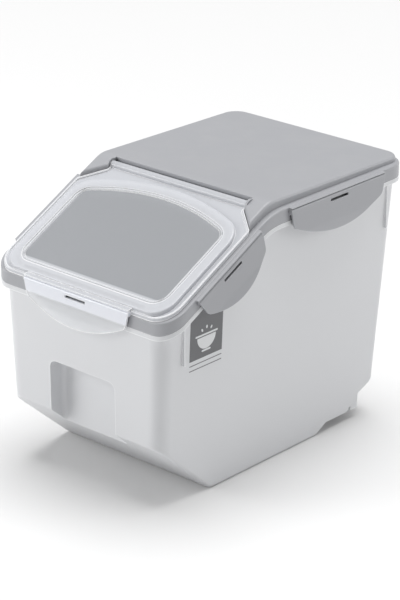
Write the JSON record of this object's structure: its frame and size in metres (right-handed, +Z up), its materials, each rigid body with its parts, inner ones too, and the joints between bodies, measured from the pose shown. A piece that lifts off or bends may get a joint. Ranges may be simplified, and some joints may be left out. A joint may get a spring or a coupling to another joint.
{
  "type": "pet food bin",
  "caption": "Slope-front dry food bin with a clear hinged pouring flap, a lift-off lid held by snap latches, a grip recess and hidden rear wheels.",
  "frame": {"origin": "centre of the tub's flat bottom face, on the floor", "axes": "+X to the bin's right, +Y to its back, +Z up; the sloping flap faces -Y"},
  "size_m": [0.241, 0.3475, 0.2705],
  "materials": {
    "tub_plastic": "milky translucent polypropylene, smooth satin",
    "lid_plastic": "light grey polypropylene, fine satin",
    "clear_plastic": "frosted clear plastic with polished edges",
    "seal_rubber": "soft translucent silicone",
    "label_print": "dark grey print with light line art",
    "wheel_plastic": "grey nylon",
    "axle_steel": "drawn steel pin"
  },
  "bodies": {
    "tub": {"tub": "tub_plastic", "label": "label_print", "axle_right": "axle_steel", "axle_left": "axle_steel"},
    "lid": {"lid": "lid_plastic", "lid_seal": "seal_rubber"},
    "flap": {"flap": "clear_plastic", "flap_seal": "seal_rubber"},
    "front_latch": {"front_latch": "clear_plastic"},
    "rear_latch_right": {"rear_latch_right": "lid_plastic"},
    "rear_latch_left": {"rear_latch_left": "lid_plastic"},
    "slope_latch_right": {"slope_latch_right": "lid_plastic"},
    "slope_latch_left": {"slope_latch_left": "lid_plastic"},
    "wheel_right": {"wheel_right": "wheel_plastic"},
    "wheel_left": {"wheel_left": "wheel_plastic"}
  },
  "joints": [
    {"name": "lid_lift", "type": "slide", "parent": "tub", "child": "lid", "axis": [0, 0, 1], "range_m": [0, 0.12]},
    {"name": "flap_hinge", "type": "hinge", "parent": "lid", "child": "flap", "pos_m": [0, -0.0139, 0.26323], "axis": [-1, 0, 0], "range_deg": [0, 115]},
    {"name": "front_latch_hinge", "type": "hinge", "parent": "flap", "child": "front_latch", "pos_m": [0, -0.1528, 0.19278], "axis": [-1, 0, 0], "range_deg": [0, 95]},
    {"name": "rear_latch_right_hinge", "type": "hinge", "parent": "lid", "child": "rear_latch_right", "pos_m": [0.1158, 0.079, 0.2581], "axis": [0, -1, 0], "range_deg": [0, 95]},
    {"name": "slope_latch_right_hinge", "type": "hinge", "parent": "lid", "child": "slope_latch_right", "pos_m": [0.1158, -0.0725, 0.22663], "axis": [0, -0.891, -0.454], "range_deg": [0, 95]},
    {"name": "rear_latch_left_hinge", "type": "hinge", "parent": "lid", "child": "rear_latch_left", "pos_m": [-0.1158, 0.079, 0.2581], "axis": [0, 1, 0], "range_deg": [0, 95]},
    {"name": "slope_latch_left_hinge", "type": "hinge", "parent": "lid", "child": "slope_latch_left", "pos_m": [-0.1158, -0.0725, 0.22663], "axis": [0, 0.891, 0.454], "range_deg": [0, 95]},
    {"name": "wheel_right_spin", "type": "hinge", "parent": "tub", "child": "wheel_right", "pos_m": [0.07023, 0.1307, 0.0125], "axis": [1, 0, 0], "continuous": true},
    {"name": "wheel_left_spin", "type": "hinge", "parent": "tub", "child": "wheel_left", "pos_m": [-0.07023, 0.1307, 0.0125], "axis": [1, 0, 0], "continuous": true}
  ]
}
